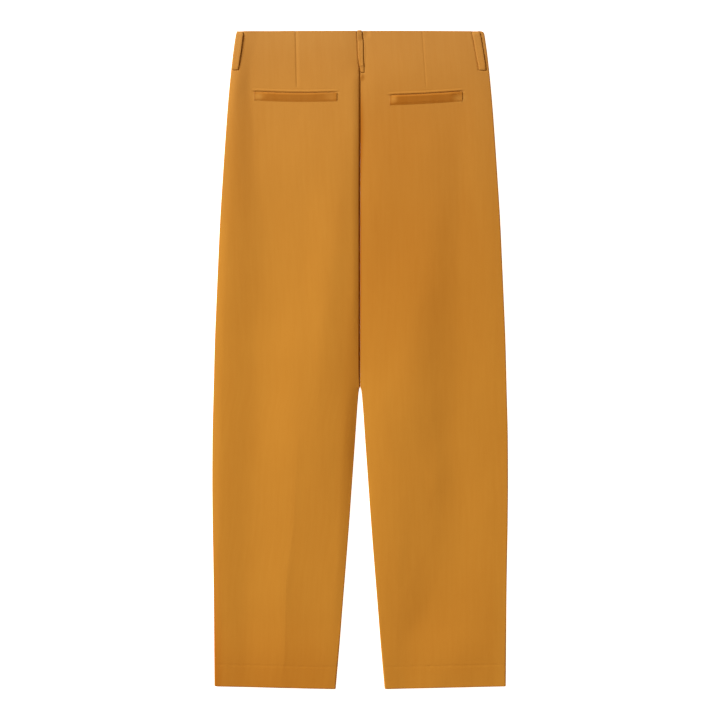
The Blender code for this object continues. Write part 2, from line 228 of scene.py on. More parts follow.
# A pocket's cross-section, as soft bands across its mouth: "after" is measured from the welt's
# upper edge, and "reach" is half of the band's width.
Band = namedtuple("Band", "after reach height")
POCKET_BANDS = table_of(Band, (-6.6, 1.1, -0.18), (-4, 2.2, 0.45))
POCKET_MOUTH = Band(-1, 1.8, -1)
POCKET_END_FADE = 2
SEAM_START = 40  # the loop above hides the seam's start
SEAM_START_RUN = 30
SEAM_END = 420
SEAM_FADE = 160
WELT_END_HEIGHT = 0.8
WELT_UNDER = 0.08
WELT_STEPS_ALONG = 88
WELT_STEPS_DOWN = 18

# Dimples where the hem is caught by its stitches.
Dimple = namedtuple("Dimple", "x depth")
HEM_LINE_DEPTH = 0.16
HEM_LINE_REACH = 2.2
DIMPLE_REACH_ACROSS = 5
DIMPLE_REACH_DOWN = 3.2
LEFT_DIMPLES = table_of(
    Dimple,
    (-222, 0.16), (-203, 0.2), (-181, 0.14), (-160, 0.2), (-139, 0.12), (-118, 0.16), (-93, 0.34),
    (-68, 0.1), (-52, 0.14),
)
RIGHT_DIMPLES = table_of(
    Dimple,
    (58, 0.1), (84, 0.12), (112, 0.3), (126, 0.26), (141, 0.32), (155, 0.22), (171, 0.32),
    (187, 0.24), (201, 0.3), (219, 0.14),
)

# Small dents in the cloth beside and below the centre loop, or bumps where the depth is below zero.
Dent = namedtuple("Dent", "side x down reach_across reach_down depth")
DENTS = table_of(Dent, (1, 0.5, 73, 6.8, 9, -1.1), (1, 11, 5, 7, 9, 0.5), (1, 6.8, 36, 2.4, 24, -0.45))

# "side" is -1 on the left and 1 on the right. Beside the centre seam a panel's curl is "seam_size"
# times a leg's round fold, and the cloth dips by "seam_dip" within "seam_reach".
Leg = namedtuple(
    "Leg", "name side relief grain crease dart welt dimples seam seam_size seam_dip seam_reach"
)
LEGS = (
    Leg("left", -1, LEFT_RELIEF, LEFT_GRAIN, LEFT_CREASE, LEFT_DART, LEFT_WELT, LEFT_DIMPLES,
        LEFT_SEAM, 1.2, 2.0, 13.0),
    Leg("right", 1, RIGHT_RELIEF, RIGHT_GRAIN, RIGHT_CREASE, RIGHT_DART, RIGHT_WELT, RIGHT_DIMPLES,
        RIGHT_SEAM, 0.35, 0.0, 3.0),
)

# How far apart the rows of faces are in each stretch of a panel, from the waist edge down.
Zone = namedtuple("Zone", "end step")
BACK_ROWS = table_of(
    Zone,
    (12, 1.2), (56, 2.6), (72, 1.1), (86, 2.4), (122, 0.75), (560, 4), (580, 1.5), (1000, 5),
    (1030, 1.5), (1048, 2),
)
FRONT_ROWS = table_of(Zone, (20, 4), (560, 15), (580, 2), (1048, 13))
# Faces across a back panel, between the side fold, the side ridge, the grain line's two sides,
# the inner edge's soft bend and the inner fold.
SIDE_REACH = 27
GRAIN_REACH = 8
INNER_REACH = 25
BACK_COLUMNS = (24, 22, 20, 18, 26)
FRONT_COLUMNS = (24,)

# Belt loops, a row for each section from the waist edge down. "tilt" is how far a loop's face
# turns to the left, in degrees. The centre loop also turns over the waist edge.
LoopSection = namedtuple("LoopSection", "down middle width lift tilt")
BeltLoop = namedtuple("BeltLoop", "name over sections")
LEFT_LOOP = table_of(
    LoopSection,
    (0, -192, 7.6, 0, 3), (1.6, -192.2, 9, 0.1, 4), (4, -192.5, 11, 0.2, 5),
    (14, -193.8, 11.6, 0.3, 5.5), (30, -195.9, 11.6, 0.3, 5), (46, -198, 11, 0.2, 5),
    (57, -199.4, 10.4, 0, 4), (62.4, -200, 10.2, 0, 1),
)
CENTRE_LOOP = table_of(
    LoopSection,
    (0, -1, 7.4, 0.3, -8), (7, -0.9, 7.8, 0.1, -8), (19, 0.4, 8.6, -0.3, 1),
    (32, 0.7, 8.6, -0.3, 1), (48, 1.4, 7.4, -0.3, 1), (60, 2.9, 6.2, -0.1, 2),
    (66.6, 3.5, 5.2, 0, 0),
)
RIGHT_LOOP = table_of(
    LoopSection,
    (0, 184.6, 11.8, 0, 0), (5, 185.4, 11.8, 0, 0.5), (14, 187.3, 12, 0, 0.5),
    (31, 190.2, 12, -0.1, 0), (47, 193, 11.6, -0.1, 0), (58, 194.8, 11, 0, 0),
    (63, 195.2, 10.8, 0, 0),
)
BELT_LOOPS = table_of(
    BeltLoop, ("left", False, LEFT_LOOP), ("centre", True, CENTRE_LOOP), ("right", False, RIGHT_LOOP)
)
LOOP_PRESS = 0.9  # how deep a loop presses into the cloth, and how far out from its edges
LOOP_PRESS_REACH = 1.9
LOOP_CORNER = 0.22  # the radius of a loop's edges, as a share of its thickness
LOOP_CROWN = 0.06
LOOP_EDGE_WALL = 0.9  # a loop is drawn thin and tight at the waist edge
LOOP_EDGE_GAP = 0.1
LOOP_EDGE_RUN = 6
LOOP_SET_BACK = 1.2  # where the upper ends of the side loops are caught, below the waist edge
LOOP_STEP = 1.6
LOOP_END_STEPS = 5
LOOP_END_DROP = 0.12  # a loop's lower end turns down and narrows a little at each step
LOOP_END_TAPER = 0.05

# Stitches and the zip's teeth.
HEM_STITCH = 1.1  # length of a hem stitch
HEM_STITCH_END = 6.0  # where the hem's stitches end, from its two edges
HEM_THREAD = 0.7  # how much finer the hem's thread is
HEM_PATH_POINTS = 90
TACK_PATH_POINTS = 12
TACK_BESIDE = 0.5  # how far the tacks stand beside a welt's ends, and start above it
TACK_ABOVE = 1.5
TACK_OVERLAP = 1.15
THREAD_OUT = 0.2  # the share of a stitch's thickness by which its middle stands out
THREAD_PLY = 0.3  # length of one turn of the thread's plies
THREAD_WEAR = (0.002, 0.002, 0.002)  # metres, as the zip's
ZIP_WEAR = (0.004, 0.004, 0.004)
TAPE_RIB = 0.6  # distance between the fine ribs of the tape, and between those of the teeth
TEETH_RIB = 0.4
TOOTH_WIDTH = 2.4
TOOTH_HEIGHT = 0.5
TOOTH_SHARE = 0.62  # a tooth's share of the distance from one tooth to the next
TOOTH_OFFSET = 0.9
TOOTH_SINK = 0.1

TINT_PARTS = (0.5, 1, 2.1)  # how much of a tint each part of a colour takes, from red to blue
FADE_POWER = 5  # how soon the faded colour of the waist edge gives way, going down

# How long the parts of the cloth's uneven colour are: across the grain, along it, and in depth.
YARN = (0.0011, 0.03, 1.0)
SLUB = (0.0055, 0.09, 1.0)
FLECK = (0.0013, 0.0028, 1.0)
NAP = (0.0004, 0.0006, 1.0)
PATCH = (0.07, 0.11, 0.07)

YARN_SHARE = 0.7  # how much of each part goes into the colour
SLUB_SHARE = 1.1
FLECK_SHARE = 0.4
PATCH_SHADE = 0.03
WEAVE_SHADE = 0.025
RIB_SLANT = 0.7  # the twill's ribs, and the threads that they are made of
RIB_SHARE = 0.5
THREAD_SHARE = 0.18
NAP_RELIEF = 0.5  # how much of the fine parts goes into the cloth's relief
FLECK_RELIEF = 0.4
WEAVE_DEPTH = 0.12

# Soft places where the cloth's colour is made darker or paler, on the left or the right side: painted shade
# in the centre back seam, on the right panel beside it, below the centre loop and down the left side fold
# near the hem, painted light at the welts' ends, and broad darker and paler patches over the hips, the
# legs, the right side fold near the hem and the waist edge.
Spot = namedtuple("Spot", "side x down reach_across reach_down shade")
PAINTED_SHADE_AND_LIGHT_SPOTS = table_of(
    Spot,
    (1, 60, 150, 210, 120, -0.08), (1, 60, 360, 230, 280, -0.13), (1, 140, 970, 230, 160, -0.06),
    (1, 236, 1000, 30, 200, 0.1), (1, 0, 340, 3.2, 400, -0.4), (-1, 0, 340, 4.5, 400, -0.5),
    (1, 0, 160, 9, 110, -0.3), (1, 3.5, 75.5, 7, 8, -0.16), (1, 53, 110, 10, 9, 0.25),
    (1, 158, 108, 15, 9, 0.25), (-1, -48, 105, 16, 9, 0.12), (-1, -163, 105.5, 11, 9, 0.3),
    (-1, -90, 0, 150, 50, 0.05), (-1, -195, 200, 45, 220, -0.06), (-1, -12, 600, 30, 280, -0.08),
    (-1, -140, 1100, 220, 220, -0.2), (-1, -242, 1040, 28, 330, -0.4),
)


# ---------------------------------------------------------------- the sizes a user would change


def a_length(name, description, size, least=0.0):
    """A length, in millimetres."""
    return FloatProperty(
        name=name, description=description, default=size * MM, min=least * MM, unit="LENGTH"
    )


def a_share(name, description, value, most=1.0):
    return FloatProperty(
        name=name, description=description, default=value, min=0.0, max=most, subtype="FACTOR"
    )


def an_angle(name, description, degrees, least, most):
    least, most = math.radians(least), math.radians(most)
    default = math.radians(degrees)
    return FloatProperty(
        name=name, description=description, default=default, min=least, max=most, subtype="ANGLE"
    )


def a_colour(name, description, value):
    limits = {"min": 0.0, "max": 1.0, "size": 3}
    return FloatVectorProperty(name=name, description=description, default=value, subtype="COLOR", **limits)


class TrousersForm(bpy.types.PropertyGroup):
    """Sizes of the cloth."""

    wall: a_length("Cloth", "Thickness of one layer of cloth", 1.2, 0.5)
    loop_wall: a_length("Belt loop", "Thickness of a folded belt loop", 1.4, 0.5)
    hem_depth: a_length("Hem", "Depth of the turned-up hem", 35.0, 5.0)
    relief: a_share("Soft folds", "How strongly the cloth's soft folds stand out", 1.0, 3.0)
    centre_curl: an_angle(
        "Centre seam", "How far the back panels turn down into the centre back seam", 85.0, 20.0, 90.0
    )
    unevenness: a_length("Unevenness", "Height of the small swells of worn cloth laid down", 0.16)


class TrousersFinish(bpy.types.PropertyGroup):
    """Colours and weave of the cloth, thread and zip."""

    waist_colour: a_colour(
        "Colour at the waist", "Colour of the slightly faded waist edge", (0.489, 0.2312, 0.0452)
    )
    hem_colour: a_colour("Colour at the hem", "Colour of the hems", (0.504, 0.2225, 0.0215))
    # Painted shade: the welts' colour is drawn darker, for the shade that falls on their faces below the
    # pocket mouth. The welts are also cut across the grain.
    welt_painted_shade: a_share(
        "Welt painted shade", "How much darker the welts look, which are cut across the grain", 0.28, 0.5
    )
    thread_colour: a_colour("Thread colour", "Colour of the sewing thread", (0.4, 0.155, 0.02))
    zip_colour: a_colour("Zip colour", "Colour of the zip's tape and teeth", (0.38, 0.15, 0.022))
    wale: a_length("Wale", "Distance between the twill's diagonal ribs", 0.9, 0.2)
    streak: a_share("Streaks", "How much the yarns' uneven colour shows", 0.05)
    roughness: a_share("Roughness", "Roughness of the cloth", 0.84)
    sheen: a_share("Sheen", "Strength of the cloth's soft nap", 0.06)


class TrousersSewing(bpy.types.PropertyGroup):
    """Sizes of the stitches and the zip's teeth."""

    hem_spacing: a_length("Hem stitches", "Distance between the hem's small stitches", 7.0, 1.0)
    tack_spacing: a_length("Tack stitches", "Distance between a pocket tack's stitches", 0.9, 0.3)
    thread: a_length("Thread", "Thickness of the sewing thread", 0.35, 0.1)
    teeth: IntProperty(
        name="Zip teeth", description="Number of teeth on each side", default=104, min=10, max=300
    )


class TrousersStage(bpy.types.PropertyGroup):
    """Floor, light and camera."""

    floor_colour: a_colour("Floor colour", "Colour of the plain floor", (0.9, 0.9, 0.9))
    key_power: FloatProperty(
        name="Key light",
        description="Power of the large soft light",
        default=1670.0,
        min=0.0,
        unit="POWER",
    )
    key_height: an_angle("Light height", "Height of the light over the horizon", 30.0, 0.0, 90.0)
    key_turn: an_angle("Light turn", "Turn of the light from the left to the waist", 30.0, -180.0, 180.0)
    fill: a_share("Fill light", "Strength of the even light from all round", 0.33, 10.0)
    fill_colour: a_colour(
        "Fill colour", "Warm, as the light that cloth throws back on itself", (1.0, 0.62, 0.3)
    )
    camera_height: a_length("Camera height", "Height of the camera above the surface", 4200.0, 500.0)
    view_width: a_length("View width", "Width of what the camera sees on the surface", 1152.0, 100.0)


# ------------------------------------------------------------------------- the cloth's form


def curve(places, values, where, bend=0.0):
    """Heights on smooth curves through points. A curve never overshoots its points, which are in
    the last axis of places and values, and where has all their other axes. bend is how much
    steeper a curve ends than its last stretch."""
    steps = np.diff(values, axis=-1) / np.diff(places, axis=-1)
    product = steps[..., :-1] * steps[..., 1:]
    total = np.where(product > 0, steps[..., :-1] + steps[..., 1:], 1.0)
    middle = np.where(product > 0, 2 * product / total, 0.0)
    first = steps[..., :1] + (steps[..., :1] - middle[..., :1]) * bend
    last = steps[..., -1:] + (steps[..., -1:] - middle[..., -1:]) * bend
    tangents = np.concatenate([first, middle, last], axis=-1)
    where = np.clip(where, places[..., 0], places[..., -1])
    low = np.sum(where[..., None] >= places[..., 1:-1], axis=-1)[..., None]

    def pick(array, index):
        return np.take_along_axis(array, index, axis=-1)[..., 0]

    run = pick(places, low + 1) - pick(places, low)
    t = (where - pick(places, low)) / run
    return (
        (1 + 2 * t) * (1 - t) ** 2 * pick(values, low)
        + t * (1 - t) ** 2 * run * pick(tangents, low)
        + t * t * (3 - 2 * t) * pick(values, low + 1)
        + t * t * (t - 1) * run * pick(tangents, low + 1)
    )


def read(table, column, where):
    """One column of a table at any places in its first column."""
    where = np.asarray(where, float)
    shape = where.shape + (len(table),)
    places = np.broadcast_to([row[0] for row in table], shape)
    values = np.broadcast_to([getattr(row, column) for row in table], shape)
    return curve(places, values, where)


def ease(share):
    """Goes from 0 to 1 with no slope at either end."""
    share = np.clip(share, 0.0, 1.0)
    return share * share * (3 - 2 * share)


def bell(distance, reach):
    """1 in the middle of a soft band, and 0 from its reach on."""
    return np.clip(1 - (distance / reach) ** 2, 0.0, 1.0) ** 2


def half_width(down):
    return read(OUTLINE, "half_width", down)


def half_gap(down):
    return np.maximum(read(OUTLINE, "half_gap", down), SEAM_GAP / 2)


def fold_height(down):
    return read(FOLD, "height", down)


def seam_curl(down, above_crotch):
    """How far a panel's inner edge curls, in degrees: all the way from just below the crotch."""
    share = ease((down - CROTCH - CROTCH_PAST) / CROTCH_RUN + 1)
    return above_crotch * (1 - share) + FULL_CURL * share


def curl_parts(down, degrees, size):
    """The radius of a panel's curl, its turn, and the short straight stretch beside the seam."""
    room = fold_height(down) / 2 - FOLD_FLAT
    turn = np.radians(np.maximum(degrees, 0.5))
    stretch = np.maximum(FOLD_FLAT + (1 - size) * room, SEAM_GAP) - SEAM_GAP / 2
    return room * size * math.pi / 2 / turn, turn, stretch


def curl(down, degrees, size=1.0):
    """A panel's edge as (out, fall), with a row for each distance down. Its length is the same
    however far it curls. Size 1 makes half of a leg's round fold, and less a tighter edge."""
    radius, turn, stretch = [part[:, None] for part in curl_parts(down, degrees, size)]
    angle = turn * np.linspace(0, 1, CURL_STEPS + 1)
    out = radius * np.sin(angle)
    fall = radius * (1 - np.cos(angle))
    last_out = out[:, -1:] + stretch * np.cos(turn)
    last_fall = fall[:, -1:] + stretch * np.sin(turn)
    return np.hstack([out, last_out]), np.hstack([fall, last_fall])


def inner_line(down, degrees, size, gap):
    """How far in the top of the inner edge's curl is."""
    radius, turn, stretch = curl_parts(down, degrees, size)
    return half_width(down) - gap - radius * np.sin(turn) - stretch * np.cos(turn)


def back_edge(leg, down, form):
    """A back panel's inner edge: how far it curls, the curl's size and half of the gap beside it."""
    size = leg.seam_size + (1 - leg.seam_size) * ease((down - SEAM_TUBE) / SEAM_TUBE_RUN)
    gap = np.maximum(half_gap(down), read(leg.seam, "gap", down))
    return seam_curl(down, math.degrees(form.centre_curl)), size, gap


def relief_height(leg, x, down, form):
    """The height of the back's cloth with its large soft folds only."""
    low = fold_height(down)
    inner = inner_line(down, *back_edge(leg, down, form))
    places = [low / 2 - FOLD_FLAT]
    heights = [low]
    for name in LINES:
        places.append(read(leg.relief, name + "_in", down))
        heights.append(low + read(leg.relief, name + "_rise", down) * form.relief)
    places.append(inner)
    heights.append(low + read(leg.seam, "rise", down))
    inward = half_width(down) - leg.side * x
    return curve(np.stack(places, -1), np.stack(heights, -1), inward, ROUNDED_END)


def crease_height(crease, x, down):
    """What one crease adds to the cloth's height."""
    away = x - read(crease.path, "x", down)
    near = np.clip(1 - np.where(away < 0, -away / crease.left, away / crease.right), 0, 1)
    form = crease.crisp * near**2 + (1 - crease.crisp) * ease(near)
    return read(crease.path, "height", down) * form


def dart_height(dart, x, down):
    away = x - (dart.top_x + (dart.end_x - dart.top_x) * down / dart.end_down)
    near = np.clip(1 - np.where(away < 0, -away / dart.left, away / dart.right), 0, 1)
    return -dart.depth * near**1.5 * ease((dart.end_down - down) / DART_FADE)


def mouth(leg, x):
    """How far along a welt each x is, from its inner to its outer end, and its upper edge there."""
    welt = leg.welt
    along = (leg.side * x - welt.inner_in) / (welt.outer_in - welt.inner_in)
    edge = welt.inner_down + (welt.outer_down - welt.inner_down) * along
    return along, edge + welt.sag * np.sin(math.pi * np.clip(along, 0, 1))


def seam_height(leg, x, down):
    """The centre back seam draws the cloth down on both sides, and fades below the crotch."""
    near = np.clip(1 - (leg.side * x - half_gap(down)) / leg.seam_reach, 0, 1)
    strength = ease((down - SEAM_START) / SEAM_START_RUN) * (1 - ease((down - SEAM_END) / SEAM_FADE))
    return -leg.seam_dip * strength * near**2


def pocket_height(leg, x, down):
    welt = leg.welt
    along, edge = mouth(leg, x)
    ends = np.minimum(leg.side * x - welt.inner_in, welt.outer_in - leg.side * x)
    inside = ease(ends / POCKET_END_FADE + 0.5)
    after = down - edge
    total = sum(band.height * bell(after - band.after, band.reach) for band in POCKET_BANDS)
    groove = POCKET_MOUTH.height * bell(after - POCKET_MOUTH.after, POCKET_MOUTH.reach)
    return (total + groove * welt.mouth) * inside


def press_height(x, down):
    """The cloth is pressed down under a belt loop and beside its edges."""
    total = 0.0
    for loop in BELT_LOOPS:
        beside = np.abs(x - read(loop.sections, "middle", down))
        beside = beside - read(loop.sections, "width", down) / 2
        below = down - loop.sections[-1].down
        pressed = 1 - ease(np.maximum(beside, below) / LOOP_PRESS_REACH)
        total = total - LOOP_PRESS * pressed
    return total


def hem_height(leg, x, down, form):
    line = OUTSEAM - form.hem_depth / MM
    total = -HEM_LINE_DEPTH * bell(down - line, HEM_LINE_REACH)
    for dimple in leg.dimples:
        near = ((x - dimple.x) / DIMPLE_REACH_ACROSS) ** 2 + ((down - line) / DIMPLE_REACH_DOWN) ** 2
        total = total - dimple.depth * np.clip(1 - near, 0, 1) ** 2
    return total


def dent_height(leg, x, down):
    total = 0.0
    for dent in DENTS:
        near = ((x - dent.x) / dent.reach_across) ** 2 + ((down - dent.down) / dent.reach_down) ** 2
        total = total - dent.depth * (leg.side == dent.side) * np.clip(1 - near, 0, 1) ** 2
    return total


def swells(leg, x, down, form):
    """Small uneven swells, longer down the leg than across it, and none at the seams."""
    points = np.stack([x / SWELL_ACROSS, down / SWELL_DOWN], -1).reshape(-1, 2)
    total = 0.0
    for swell in SWELLS:
        cut = leg.side * swell.cut
        layer = [noise.noise(Vector((a * swell.across, b * swell.down, cut))) for a, b in points]
        total = total + swell.height * np.array(layer)
    inward = half_width(down) - leg.side * x
    edges = np.minimum(inward, half_width(down) - half_gap(down) - inward)
    return total.reshape(x.shape) * form.unevenness / MM * ease(edges / SWELL_FADE)


def detail_height(leg, x, down, form):
    """Everything finer than the large soft folds."""
    total = swells(leg, x, down, form) + hem_height(leg, x, down, form)
    total += dart_height(leg.dart, x, down) + pocket_height(leg, x, down)
    total += seam_height(leg, x, down) + press_height(x, down) + dent_height(leg, x, down)
    return total + crease_height(leg.crease, x, down)


def laid_height(leg, x, down, form):
    """The cloth's height under a piece that lies on it, without the pocket's and dart's grooves."""
    x, down = np.broadcast_arrays(np.asarray(x, float), np.asarray(down, float))
    return relief_height(leg, x, down, form) + swells(leg, x, down, form)


def to_frame(x, down, z):
    """Points in metres in the frame, from millimetres across, down and up."""
    x, down, z = np.broadcast_arrays(x, down, z)
    return np.stack([x, WAIST_Y - down, z], -1) * MM


def place(leg, inward, down, z):
    """Points in metres. The hem slants down towards the inner edge."""
    drop = np.maximum(0.0, down - CROTCH) / (OUTSEAM - CROTCH) * HEM_DROP
    drop = drop * inward / (half_width(down) - half_gap(down))
    return to_frame(leg.side * (half_width(down) - inward), down + drop, z)


def stations(zones, start):
    """Distances down for the rows of faces, between a start and the last zone's end."""
    rows = [start]
    for zone in zones:
        count = max(1, round((zone.end - rows[-1]) / zone.step))
        rows += list(np.linspace(rows[-1], zone.end, count + 1)[1:])
    return np.array(rows)


# ---------------------------------------------------------------------------- making meshes


def normals_of(grid):
    """Unit normals of a grid of points whose rows run down and whose columns run to the right."""
    normal = np.cross(np.gradient(grid, axis=0), np.gradient(grid, axis=1))
    return normal / np.linalg.norm(normal, axis=-1, keepdims=True)


def rim(first, second, beyond):
    """Rows of points that join two edges, in a half round that stands out beyond them."""
    middle = (first + second) / 2
    arm = (first - second) / 2
    out = middle - beyond
    out -= arm * (np.sum(out * arm, -1) / np.sum(arm * arm, -1))[:, None]
    out *= (np.linalg.norm(arm, axis=-1) / np.linalg.norm(out, axis=-1))[:, None]
    angles = np.linspace(0, math.pi, RIM_STEPS + 1)[1:-1]
    return [middle + arm * math.cos(a) + out * math.sin(a) for a in angles]


def cloth_mesh(name, points, faces, flat):
    """A mesh of points in metres, whose UV map is each point's place in the flat cloth."""
    mesh = bpy.data.meshes.new(name)
    mesh.from_pydata(points, [], faces)
    corners = np.zeros(len(mesh.loops), int)
    mesh.loops.foreach_get("vertex_index", corners)
    layer = mesh.uv_layers.new(name="cloth")
    layer.data.foreach_set("uv", np.array(flat, np.float32)[corners].ravel())
    return mesh


def shell(name, outer, inner, flat, material, round_first=True, round_last=True):
    """A closed piece of cloth between two grids of points, in metres, as their places in the flat
    cloth are."""
    rows, columns = outer.shape[:2]
    loop = list(outer)
    flat_loop = list(flat)
    if round_last:
        loop += rim(outer[-1], inner[-1], (outer[-2] + inner[-2]) / 2)
        flat_loop += [flat[-1]] * (RIM_STEPS - 1)
    turn = len(loop)
    loop += list(inner[::-1])
    flat_loop += list(flat[::-1])
    if round_first:
        loop += rim(inner[0], outer[0], (outer[1] + inner[1]) / 2)
        flat_loop += [flat[0]] * (RIM_STEPS - 1)
    count = len(loop)
    faces = []
    for i in range(count):
        here, there = i * columns, (i + 1) % count * columns
        faces += [(here + k, there + k, there + k + 1, here + k + 1) for k in range(columns - 1)]
    for column in (0, columns - 1):
        index = [i * columns + column for i in range(count)]
        upper, lower = index[:rows], index[turn : turn + rows][::-1]
        sides = [(upper[i + 1], upper[i], lower[i], lower[i + 1]) for i in range(rows - 1)]
        if round_last:
            sides.append(tuple(index[rows - 1 : turn + 1][::-1]))
        if round_first:
            sides.append(tuple([index[0], *index[: turn + rows - 2 : -1]]))
        faces += sides if column == 0 else [face[::-1] for face in sides]
    mesh = cloth_mesh(name, np.concatenate(loop), faces, np.concatenate(flat_loop))
    return finished(name, mesh, material)


def finished(name, mesh, material):
    """Links a mesh as a piece with its material and soft edges."""
    mesh.shade_smooth()
    mesh.set_sharp_from_angle(angle=math.radians(SHARP_ANGLE))
    mesh.materials.clear()
    mesh.materials.append(material)
    piece = bpy.data.objects.new(name, mesh)
    bpy.context.scene.collection.objects.link(piece)
    return piece


def carried(piece, slot, *nodes):
    """The piece rides on the part and stands for its CAD nodes, which it hides. slot is not used."""
    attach(piece, "root")
    if nodes:
        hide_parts(*nodes)
    return piece


def flat_places(points, middle):
    """Places in the flat cloth, in metres: across from a middle column, and down."""
    steps = np.linalg.norm(np.diff(points, axis=1), axis=-1)
    across = np.hstack([np.zeros((len(points), 1)), np.cumsum(steps, axis=1)])
    across -= across[:, middle : middle + 1]
    return np.stack([across, points[..., 1]], -1)


def columns_between(marks, counts):
    """Columns for each row: evenly spaced between one mark and the next."""
    parts = [marks[0][:, None]]
    for start, end, count in zip(marks, marks[1:], counts):
        shares = np.linspace(0, 1, count + 1)[1:]
        parts.append(start[:, None] + (end - start)[:, None] * shares)
    return np.hstack(parts)


def wall_at(down, form):
    """The cloth's thickness: one layer, and two layers in the turned-up hem."""
    start = OUTSEAM - form.hem_depth / MM
    return form.wall / MM * (1 + ease((down - start + HEM_STEP) / HEM_STEP))


def curled(leg, down, edge, top, z, turn):
    """A panel's places inward, down and up, with both of its edges curled. edge is its inner one,
    as from back_edge. z holds the heights of the side edge, the top and the inner edge, and turn
    is 1 for a panel that curls down and -1 for one that curls up."""
    degrees, size, gap = edge
    reach = fold_height(down)[:, None] / 2 - FOLD_FLAT
    inner = inner_line(down, degrees, size, gap)[:, None]
    side_out, side_fall = curl(down, np.full_like(down, FULL_CURL))
    inner_out, inner_fall = curl(down, degrees, size)
    inward = np.hstack([(reach - side_out)[:, :0:-1], top, (inner + inner_out)[:, 1:]])
    side_z, inner_z = z[0] - turn * side_fall, z[2] - turn * inner_fall
    z = np.hstack([side_z[:, :0:-1], z[1], inner_z[:, 1:]])
    down = np.repeat(down[:, None], inward.shape[1], axis=1)
    return inward[:, :: -leg.side], down, z[:, :: -leg.side]


def back_panel(leg, form, material):
    """One back panel as a closed shell. Its columns run to the right, on either leg."""
    wall = form.wall / MM
    down = stations(BACK_ROWS, wall / 2)
    down[-1] -= wall
    edge = back_edge(leg, down, form)
    reach = fold_height(down) / 2 - FOLD_FLAT
    inner = inner_line(down, *edge)
    grain = half_width(down) - np.abs(read(leg.grain, "x", down))
    side_end, grain_start, grain_end = reach + SIDE_REACH, grain - GRAIN_REACH, grain + GRAIN_REACH
    marks = (reach, side_end, grain_start, grain_end, inner - INNER_REACH, inner)
    top = columns_between(marks, BACK_COLUMNS)
    across = np.repeat(down[:, None], top.shape[1], axis=1)
    top_z = relief_height(leg, leg.side * (half_width(across) - top), across, form)
    height = fold_height(down)[:, None]
    heights = (height, top_z, height + read(leg.seam, "rise", down)[:, None])
    inward, down, z = curled(leg, down, edge, top, heights, 1)
    smooth = place(leg, inward, down, z)
    normal = normals_of(smooth)
    x = leg.side * (half_width(down) - inward)
    detail = detail_height(leg, x, down, form) * np.clip(normal[..., 2], 0.0, 1.0)
    outer = smooth + normal * detail[..., None] * MM
    inside = smooth - normal * wall_at(down, form)[..., None] * MM
    flat = flat_places(smooth, inward.shape[1] // 2)
    return shell("back_cloth_" + leg.name, outer, inside, flat, material)


def front_panel(leg, form, material):
    """One front panel, flat on the surface, with its edges curling up to the seams."""
    wall = form.wall / MM
    down = stations(FRONT_ROWS, wall / 2)
    down[-1] -= wall
    edge = (seam_curl(down, 0.0), 1.0, half_gap(down))
    marks = (fold_height(down) / 2 - FOLD_FLAT, inner_line(down, *edge))
    top = columns_between(marks, FRONT_COLUMNS)
    inward, down, z = curled(leg, down, edge, top, (0.0, np.zeros_like(top), 0.0), -1)
    outer = place(leg, inward, down, z)
    inside = outer + normals_of(outer) * wall_at(down, form)[..., None] * MM
    flat = flat_places(outer, inward.shape[1] // 2)
    return shell("front_cloth_" + leg.name, inside, outer, flat, material)


def pocket_welt(leg, form, material):
    """The folded strip that fills the pocket mouth from below."""
    welt = leg.welt
    along = np.linspace(0, 1, WELT_STEPS_ALONG + 1)[:: leg.side]
    x = leg.side * (welt.inner_in + (welt.outer_in - welt.inner_in) * along)
    edge = mouth(leg, x)[1]
    share = np.linspace(0, 1, WELT_STEPS_DOWN + 1)[:, None]
    down = edge + welt.depth * share
    x = np.broadcast_to(x, down.shape)
    length = welt.outer_in - welt.inner_in
    crown = ease(length * along / welt.inner_run) * ease(length * (1 - along) / welt.outer_run)
    rise = read(welt.form, "height", np.broadcast_to(share, down.shape))
    rise = np.minimum(rise, WELT_END_HEIGHT) * (1 - crown) + rise * crown
    under = laid_height(leg, x, down, form)
    outer = to_frame(x, down, under + WELT_UNDER + rise)
    inner = to_frame(x, down, under + WELT_UNDER)
    flat = outer[..., :2]
    return shell("welt_cloth_" + leg.name, outer, inner, flat, material, round_last=False)


def strap(name, centres, ups, widths, walls, material):
    """A flat strap with rounded edges along a path of centres, in millimetres."""
    arc = np.radians([90.0, 45.0, 0.0])
    rings = []
    flat = []
    run = 0.0
    for i, (centre, up, width, wall) in enumerate(zip(centres, ups, widths, walls)):
        after, before = centres[min(i + 1, len(centres) - 1)], centres[max(i - 1, 0)]
        forward = (after - before) / np.linalg.norm(after - before)
        side = np.cross(forward, up)
        side /= np.linalg.norm(side)
        above = np.cross(side, forward)
        corner = wall * LOOP_CORNER
        across, high = width / 2 - corner, wall / 2 - corner
        upper = [(across + corner * math.cos(a), high + corner * math.sin(a)) for a in arc]
        right = [*upper, *[(a, -b) for a, b in upper[::-1]]]
        over = [(across * k, wall / 2 * (1 + LOOP_CROWN * (1 - k * k))) for k in (-0.5, 0, 0.5)]
        under = [(across * k, -wall / 2) for k in (0.5, 0, -0.5)]
        outline = np.array([*right, *under, *[(-a, -b) for a, b in right], *over])
        run += np.linalg.norm(centre - centres[max(i - 1, 0)])
        rings.append(centre + outline[:, :1] * side + outline[:, 1:] * above)
        flat += [(a * MM, -run * MM) for a, b in outline]
    size = len(rings[0])
    faces = [
        (i * size + k, i * size + (k + 1) % size, (i + 1) * size + (k + 1) % size, (i + 1) * size + k)
        for i in range(len(rings) - 1)
        for k in range(size)
    ]
    faces.append(tuple(range(size))[::-1])
    faces.append(tuple(range((len(rings) - 1) * size, len(rings) * size)))
    return finished(name, cloth_mesh(name, np.concatenate(rings) * MM, faces, flat), material)


